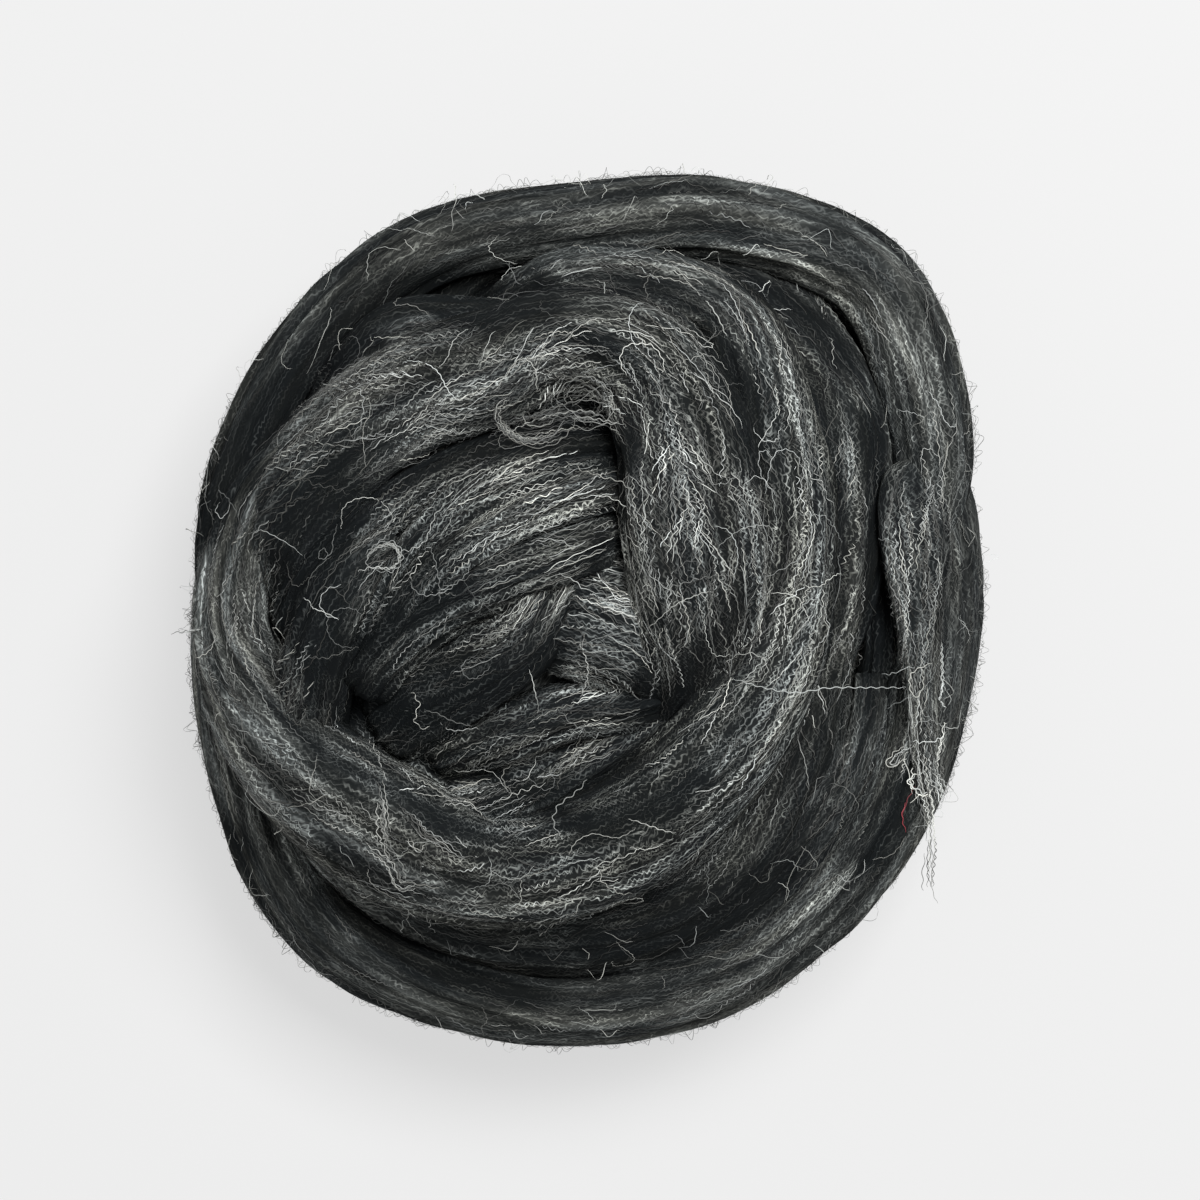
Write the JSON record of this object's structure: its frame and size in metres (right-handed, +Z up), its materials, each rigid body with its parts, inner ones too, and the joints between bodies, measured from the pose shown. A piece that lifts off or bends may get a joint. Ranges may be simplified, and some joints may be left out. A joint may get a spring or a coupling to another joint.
{
  "type": "wool roving ball",
  "caption": "Loosely wound ball of charcoal wool roving with pale crimped fibres and its loose end lying over one flank.",
  "frame": {"origin": "on the table, under the middle of the ball's bounding box", "axes": "+Z up off the table, +X to the right of the picture, where the loose end lies, +Y to the top of the picture, along the ball's length"},
  "size_m": [0.1826, 0.1993, 0.1124],
  "materials": {
    "wool": "matt combed fibre, dark charcoal with pale grey fibres along it"
  },
  "bodies": {
    "root": {"wound_ball": "wool", "loose_end": "wool"}
  },
  "joints": []
}
